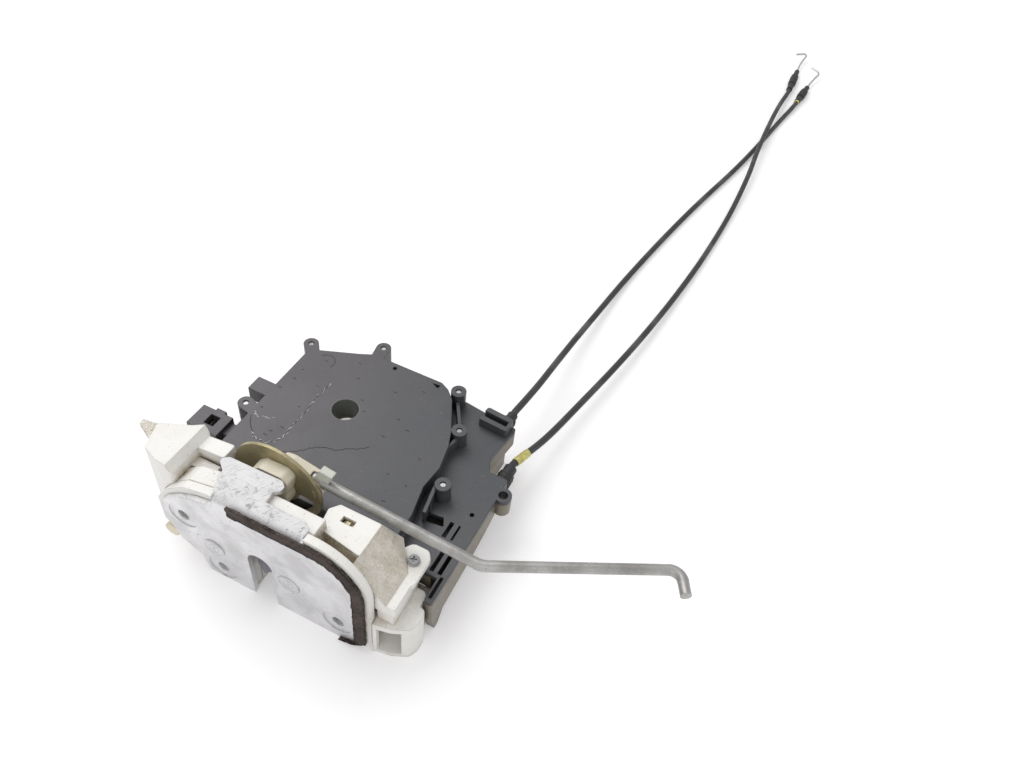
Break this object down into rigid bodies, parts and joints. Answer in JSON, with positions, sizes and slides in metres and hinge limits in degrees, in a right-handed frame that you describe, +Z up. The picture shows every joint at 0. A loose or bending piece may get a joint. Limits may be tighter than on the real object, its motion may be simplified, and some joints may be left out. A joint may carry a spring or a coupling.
{
  "type": "car door lock",
  "caption": "Car door lock with a slotted face plate, white latch block, black actuator housing, bent handle rod and Bowden cables that end in hooked wires.",
  "frame": {"origin": "centre of the drive bore's mouth, on the top face of the actuator cover", "axes": "+Z up, out of the drive bore; -Y out of the face plate, the way its bolts come in; +X along the face plate towards the handle rod's end"},
  "size_m": [0.2061, 0.5729, 0.0578],
  "materials": {
    "zinc_plate": "zinc plated, scuffed",
    "foam": "closed cell foam strip",
    "white_plastic": "moulded, dusty",
    "cream_plastic": "moulded",
    "clear_plastic": "translucent",
    "screw_steel": "plain",
    "coated_catch": "steel with a moulded plastic jacket",
    "spring_steel": "drawn wire",
    "rubber_black": "moulded",
    "yellow_steel": "yellow passivated",
    "rod_steel": "galvanized wire",
    "buffer": "moulded",
    "black_plastic": "moulded",
    "base_plastic": "moulded, dusty",
    "contact_brass": "plain",
    "motor_can": "drawn can",
    "gear_plastic": "moulded",
    "cable_sheath": "extruded",
    "yellow_tape": "tape"
  },
  "bodies": {
    "lock": {"face_plate": "zinc_plate", "foam_seal": "foam", "latch_front": "white_plastic", "latch_body": "white_plastic", "side_box": "white_plastic", "lever_shelf": "white_plastic", "lever_cover": "white_plastic", "roof_tongue": "yellow_steel", "cover_pins": "screw_steel", "cover_screw": "screw_steel", "boss_screw": "screw_steel", "fork_pivot": "zinc_plate", "pawl_pivot": "zinc_plate", "fork_spring": "spring_steel", "pawl_spring": "spring_steel", "striker_bumper": "rubber_black", "back_plate": "zinc_plate", "lever_pin": "zinc_plate", "slam_buffer": "buffer", "actuator_cover": "black_plastic", "actuator_base": "base_plastic", "housing_seal": "rubber_black", "connector_shell": "black_plastic", "terminals": "contact_brass", "microswitch": "black_plastic", "motor": "motor_can", "wheel_pin": "screw_steel", "lock_post": "screw_steel", "release_post": "screw_steel", "gland_1": "rubber_black", "gland_2": "rubber_black", "cable_clip": "black_plastic", "cable_1": "cable_sheath", "cable_2": "cable_sheath", "tape_near": "yellow_tape", "tape_far": "yellow_tape", "fitting_1": "cable_sheath", "fitting_2": "cable_sheath"},
    "catch": {"fork_bolt": "coated_catch"},
    "pawl": {"pawl": "screw_steel"},
    "key_lever": {"key_lever": "yellow_steel", "lever_hub": "cream_plastic"},
    "rod": {"rod_clip": "cream_plastic", "clip_gate": "clear_plastic", "handle_rod": "rod_steel"},
    "wheel": {"worm_wheel": "gear_plastic"},
    "worm": {"worm": "contact_brass"},
    "lock_lever": {"lock_lever": "gear_plastic"},
    "release_lever": {"release_lever": "screw_steel"},
    "wire_1": {"wire_end_1": "spring_steel"},
    "wire_2": {"wire_end_2": "spring_steel"}
  },
  "joints": [
    {"name": "catch_turn", "type": "hinge", "parent": "lock", "child": "catch", "pos_m": [0.0221, -0.0644, -0.0105], "axis": [0, 1, 0], "range_deg": [0, 50]},
    {"name": "pawl_turn", "type": "hinge", "parent": "lock", "child": "pawl", "pos_m": [-0.0099, -0.0644, -0.0122], "axis": [0, 1, 0], "range_deg": [0, 26]},
    {"name": "key_turn", "type": "hinge", "parent": "lock", "child": "key_lever", "pos_m": [0.0027, -0.0459, 0.0082], "axis": [0, 1, 0], "range_deg": [-20, 20]},
    {"name": "rod_turn", "type": "hinge", "parent": "key_lever", "child": "rod", "pos_m": [0.0045, -0.044, 0.0158], "axis": [0, 1, 0], "range_deg": [-20, 20]},
    {"name": "wheel_turn", "type": "hinge", "parent": "lock", "child": "wheel", "pos_m": [0.024, 0.007, -0.0185], "axis": [0, 0, 1], "range_deg": [-75, 75]},
    {"name": "worm_turn", "type": "hinge", "parent": "lock", "child": "worm", "pos_m": [0.024, 0.02, -0.0185], "axis": [1, 0, 0], "range_deg": [-1800, 1800]},
    {"name": "lock_turn", "type": "hinge", "parent": "lock", "child": "lock_lever", "pos_m": [0.034, -0.024, -0.0085], "axis": [0, 0, 1], "range_deg": [-20, 20]},
    {"name": "release_turn", "type": "hinge", "parent": "lock", "child": "release_lever", "pos_m": [-0.016, -0.026, -0.0087], "axis": [0, 0, 1], "range_deg": [0, 21]},
    {"name": "wire_1_slide", "type": "slide", "parent": "lock", "child": "wire_1", "axis": [0.0693, 0.9976, 0], "range_m": [0, 0.01]},
    {"name": "wire_2_slide", "type": "slide", "parent": "lock", "child": "wire_2", "axis": [-0.0402, 0.9992, 0], "range_m": [-0.0049, 0.0049]}
  ],
  "couplings": [
    {"joint": "pawl_turn", "follows": "catch_turn", "ratio": 0.52},
    {"joint": "rod_turn", "follows": "key_turn", "ratio": -1},
    {"joint": "worm_turn", "follows": "wheel_turn", "ratio": 24},
    {"joint": "lock_turn", "follows": "wheel_turn", "ratio": 0.25},
    {"joint": "wire_2_slide", "follows": "wheel_turn", "m_per_rad": 0.0034},
    {"joint": "release_turn", "follows": "wire_1_slide", "rad_per_m": 35}
  ]
}
